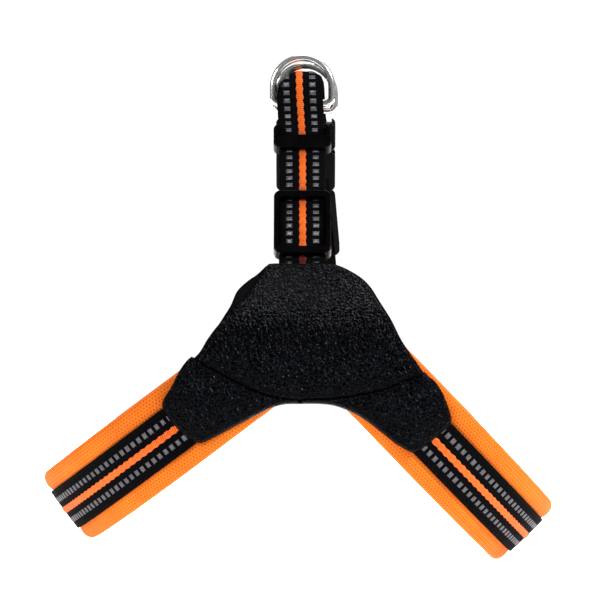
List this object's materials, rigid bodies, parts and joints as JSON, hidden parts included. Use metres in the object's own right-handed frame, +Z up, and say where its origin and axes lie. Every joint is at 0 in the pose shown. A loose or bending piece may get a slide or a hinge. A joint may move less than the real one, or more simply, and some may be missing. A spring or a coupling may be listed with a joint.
{
  "type": "dog harness",
  "caption": "No-pull dog harness: two leather shoulder plates, padded mesh chest and belly bands with striped webbing, and a back strap with adjusters, side-release buckle and leash rings.",
  "frame": {"origin": "centre of the torso space, midway between the shoulder plates, under the back strap and level with the point where the band centrelines meet", "axes": "the dog faces -X; its left side is -Y; +Z is up, along the way the back strap's top lifts"},
  "size_m": [0.281, 0.1982, 0.2792],
  "materials": {
    "orange_mesh": "knitted air mesh",
    "foam_core": "open-cell foam",
    "striped_webbing": "woven, orange centre stripe, grey reflective blocks",
    "black_leather": "pebbled, semi-gloss",
    "black_lining": "matte",
    "black_plastic": "moulded, satin",
    "ring_chrome": "polished"
  },
  "bodies": {
    "root": {"chest_band_mesh": "orange_mesh", "chest_band_foam": "foam_core", "chest_band_webbing": "striped_webbing", "belly_band_mesh": "orange_mesh", "belly_band_foam": "foam_core", "belly_band_webbing": "striped_webbing", "left_shoulder_panel": "black_leather", "left_chest_cap": "black_leather", "left_belly_cap": "black_leather", "left_shoulder_foam": "foam_core", "left_shoulder_lining": "black_lining", "right_shoulder_panel": "black_leather", "right_chest_cap": "black_leather", "right_belly_cap": "black_leather", "right_shoulder_foam": "foam_core", "right_shoulder_lining": "black_lining", "left_back_strap": "striped_webbing", "right_back_strap": "striped_webbing", "buckle_socket": "black_plastic"},
    "strap_top": {"top_strap": "striped_webbing", "buckle_plug": "black_plastic"},
    "keeper": {"strap_keeper": "black_plastic"},
    "front_ring": {"front_d_ring": "ring_chrome"},
    "rear_ring": {"rear_d_ring": "ring_chrome"},
    "front_arm": {"front_prong": "black_plastic"},
    "rear_arm": {"rear_prong": "black_plastic"},
    "left_adjuster": {"left_slider": "black_plastic", "left_slider_tab": "striped_webbing"},
    "right_adjuster": {"right_slider": "black_plastic", "right_slider_tab": "striped_webbing"}
  },
  "joints": [
    {"name": "buckle_release", "type": "slide", "parent": "root", "child": "strap_top", "axis": [0, -0.4811, 0.8767], "range_m": [0, 0.026]},
    {"name": "front_arm_squeeze", "type": "hinge", "parent": "strap_top", "child": "front_arm", "pos_m": [-0.008, 0.01744, 0.09663], "axis": [0, 0.8767, 0.4811], "range_deg": [-10, 0], "stiffness_Nm_per_rad": 1},
    {"name": "rear_arm_squeeze", "type": "hinge", "parent": "strap_top", "child": "rear_arm", "pos_m": [0.0116, 0.01744, 0.09663], "axis": [0, 0.8767, 0.4811], "range_deg": [0, 10], "stiffness_Nm_per_rad": 1},
    {"name": "front_ring_swing", "type": "hinge", "parent": "strap_top", "child": "front_ring", "pos_m": [0, -0.0027, 0.1197], "axis": [1, 0, 0], "range_deg": [0, 95]},
    {"name": "rear_ring_swing", "type": "hinge", "parent": "strap_top", "child": "rear_ring", "pos_m": [0.0016, 0.0027, 0.1158], "axis": [1, 0, 0], "range_deg": [-85, 0]},
    {"name": "keeper_slide", "type": "slide", "parent": "strap_top", "child": "keeper", "axis": [0, 0.4811, 0.8767], "range_m": [0, 0.004]},
    {"name": "left_adjuster_slide", "type": "slide", "parent": "root", "child": "left_adjuster", "axis": [0, 0.4811, 0.8767], "range_m": [-0.003, 0.014]},
    {"name": "right_adjuster_slide", "type": "slide", "parent": "root", "child": "right_adjuster", "axis": [-0.0837, -0.4794, 0.8736], "range_m": [-0.006, 0]}
  ]
}
